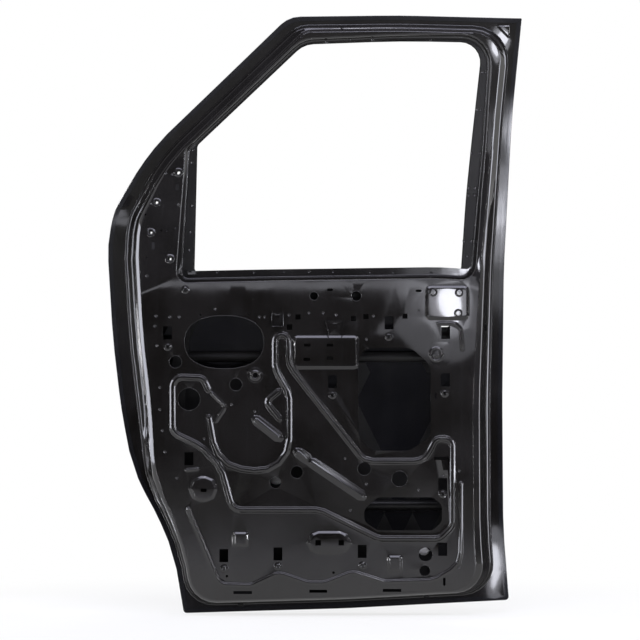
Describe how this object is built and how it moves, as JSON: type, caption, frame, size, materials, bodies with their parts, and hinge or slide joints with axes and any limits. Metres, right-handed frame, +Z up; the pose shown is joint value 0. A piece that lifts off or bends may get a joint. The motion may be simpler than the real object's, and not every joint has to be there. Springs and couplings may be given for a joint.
{
  "type": "car door shell",
  "caption": "Front side door shell of a full-size van: outer skin hemmed to a stamped inner panel with window frame, beams, glass channels and reinforcements.",
  "frame": {"origin": "below the middle of the door, at the centre of its box in X and Y and level with its lowest edge", "axes": "+X from the hinge edge to the latch edge, +Y from the cabin to the outside, +Z up"},
  "size_m": [0.993, 0.1418, 1.4353],
  "materials": {
    "skin_coat": "gloss black electrocoat",
    "panel_coat": "gloss black electrocoat",
    "inner_coat": "satin black electrocoat"
  },
  "bodies": {
    "root": {"outer_skin": "skin_coat", "inner_panel": "panel_coat", "belt_reinforcement_outer": "inner_coat", "belt_reinforcement_inner": "inner_coat", "intrusion_beam_upper": "inner_coat", "intrusion_beam_lower": "inner_coat", "beam_bracket_upper_front": "inner_coat", "beam_bracket_upper_rear": "inner_coat", "beam_bracket_lower_front": "inner_coat", "beam_bracket_lower_rear": "inner_coat", "hinge_reinforcement_upper": "inner_coat", "hinge_reinforcement_lower": "inner_coat", "hinge_nut_upper_bottom": "inner_coat", "hinge_nut_upper_top": "inner_coat", "hinge_nut_lower_bottom": "inner_coat", "hinge_nut_lower_top": "inner_coat", "check_strap_reinforcement": "inner_coat", "latch_reinforcement": "inner_coat", "mirror_reinforcement": "inner_coat", "mirror_nut_1": "inner_coat", "mirror_nut_2": "inner_coat", "mirror_nut_3": "inner_coat", "mirror_nut_4": "inner_coat", "front_glass_channel": "inner_coat", "front_glass_channel_lower": "inner_coat", "header_glass_channel": "inner_coat", "rear_glass_channel": "inner_coat", "rear_glass_channel_lower": "inner_coat", "front_channel_bracket": "inner_coat", "rear_channel_bracket": "inner_coat", "outer_handle_reinforcement": "inner_coat", "armrest_bracket": "inner_coat", "pull_handle_bracket": "inner_coat", "lock_plate": "inner_coat", "lock_plate_boss": "inner_coat", "trim_boss_1": "inner_coat", "trim_boss_2": "inner_coat", "trim_boss_3": "inner_coat", "trim_boss_4": "inner_coat", "trim_boss_5": "inner_coat", "trim_boss_6": "inner_coat", "trim_boss_7": "inner_coat", "trim_boss_8": "inner_coat", "trim_boss_9": "inner_coat", "handle_pad_boss_1": "inner_coat", "handle_pad_boss_2": "inner_coat", "handle_pad_boss_3": "inner_coat"}
  },
  "joints": []
}
